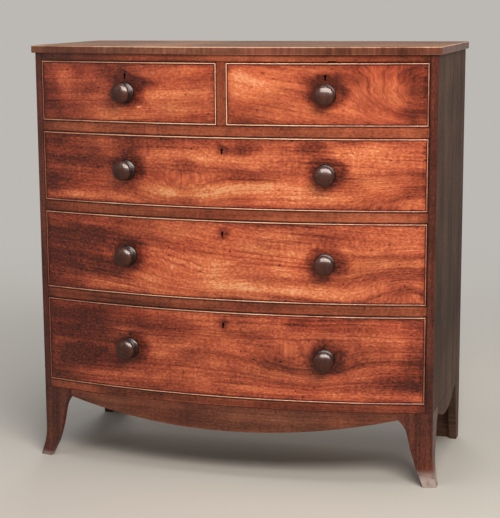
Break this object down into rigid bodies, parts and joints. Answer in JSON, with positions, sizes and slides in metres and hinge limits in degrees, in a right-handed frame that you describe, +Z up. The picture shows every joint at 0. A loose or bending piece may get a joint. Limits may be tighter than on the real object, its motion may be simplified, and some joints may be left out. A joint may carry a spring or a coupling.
{
  "type": "bow front chest of drawers",
  "caption": "Bow front mahogany chest with short drawers over long graduated ones, cockbeads, turned bun knobs, shaped apron and bracket feet.",
  "frame": {"origin": "on the floor, at the middle of the bottom of the bounding box of the closed chest", "axes": "+Z up; -Y is the bowed drawer front; +X is to the right seen from the front"},
  "size_m": [1.024, 0.5182, 1.0435],
  "materials": {
    "top_mahogany": "polished red-brown mahogany board",
    "case_mahogany": "dark polished mahogany",
    "drawer_mahogany": "figured mahogany veneer, glossy polish with darker streaks",
    "cockbead": "worn mahogany bead with bright rubbed nose",
    "knob_mahogany": "turned and polished, nearly black-brown",
    "oak_lining": "bare aged oak",
    "pine": "bare aged pine"
  },
  "bodies": {
    "case": {"top": "top_mahogany", "side_left": "case_mahogany", "side_right": "case_mahogany", "back": "pine", "case_bottom": "pine", "top_rail": "case_mahogany", "rail_upper": "case_mahogany", "rail_middle": "case_mahogany", "rail_lower": "case_mahogany", "bottom_rail": "case_mahogany", "dust_board_upper": "pine", "dust_board_middle": "pine", "dust_board_lower": "pine", "divider": "case_mahogany", "partition": "pine", "apron_front": "case_mahogany", "apron_left": "case_mahogany", "apron_right": "case_mahogany", "foot_front_left": "case_mahogany", "foot_front_right": "case_mahogany", "foot_rear_left": "case_mahogany", "foot_rear_right": "case_mahogany"},
    "drawer_top_left": {"drawer_top_left_front": "drawer_mahogany", "drawer_top_left_side_left": "oak_lining", "drawer_top_left_side_right": "oak_lining", "drawer_top_left_back": "oak_lining", "drawer_top_left_bottom": "oak_lining", "drawer_top_left_bead": "cockbead", "drawer_top_left_knob": "knob_mahogany"},
    "drawer_top_right": {"drawer_top_right_front": "drawer_mahogany", "drawer_top_right_side_left": "oak_lining", "drawer_top_right_side_right": "oak_lining", "drawer_top_right_back": "oak_lining", "drawer_top_right_bottom": "oak_lining", "drawer_top_right_bead": "cockbead", "drawer_top_right_knob": "knob_mahogany"},
    "drawer_second": {"drawer_second_front": "drawer_mahogany", "drawer_second_side_left": "oak_lining", "drawer_second_side_right": "oak_lining", "drawer_second_back": "oak_lining", "drawer_second_bottom": "oak_lining", "drawer_second_bead": "cockbead", "drawer_second_knob_left": "knob_mahogany", "drawer_second_knob_right": "knob_mahogany"},
    "drawer_third": {"drawer_third_front": "drawer_mahogany", "drawer_third_side_left": "oak_lining", "drawer_third_side_right": "oak_lining", "drawer_third_back": "oak_lining", "drawer_third_bottom": "oak_lining", "drawer_third_bead": "cockbead", "drawer_third_knob_left": "knob_mahogany", "drawer_third_knob_right": "knob_mahogany"},
    "drawer_bottom": {"drawer_bottom_front": "drawer_mahogany", "drawer_bottom_side_left": "oak_lining", "drawer_bottom_side_right": "oak_lining", "drawer_bottom_back": "oak_lining", "drawer_bottom_bottom": "oak_lining", "drawer_bottom_bead": "cockbead", "drawer_bottom_knob_left": "knob_mahogany", "drawer_bottom_knob_right": "knob_mahogany"}
  },
  "joints": [
    {"name": "drawer_top_left_slide", "type": "slide", "parent": "case", "child": "drawer_top_left", "axis": [0, -1, 0], "range_m": [0, 0.3]},
    {"name": "drawer_top_right_slide", "type": "slide", "parent": "case", "child": "drawer_top_right", "axis": [0, -1, 0], "range_m": [0, 0.3]},
    {"name": "drawer_second_slide", "type": "slide", "parent": "case", "child": "drawer_second", "axis": [0, -1, 0], "range_m": [0, 0.3]},
    {"name": "drawer_third_slide", "type": "slide", "parent": "case", "child": "drawer_third", "axis": [0, -1, 0], "range_m": [0, 0.3]},
    {"name": "drawer_bottom_slide", "type": "slide", "parent": "case", "child": "drawer_bottom", "axis": [0, -1, 0], "range_m": [0, 0.3]}
  ]
}
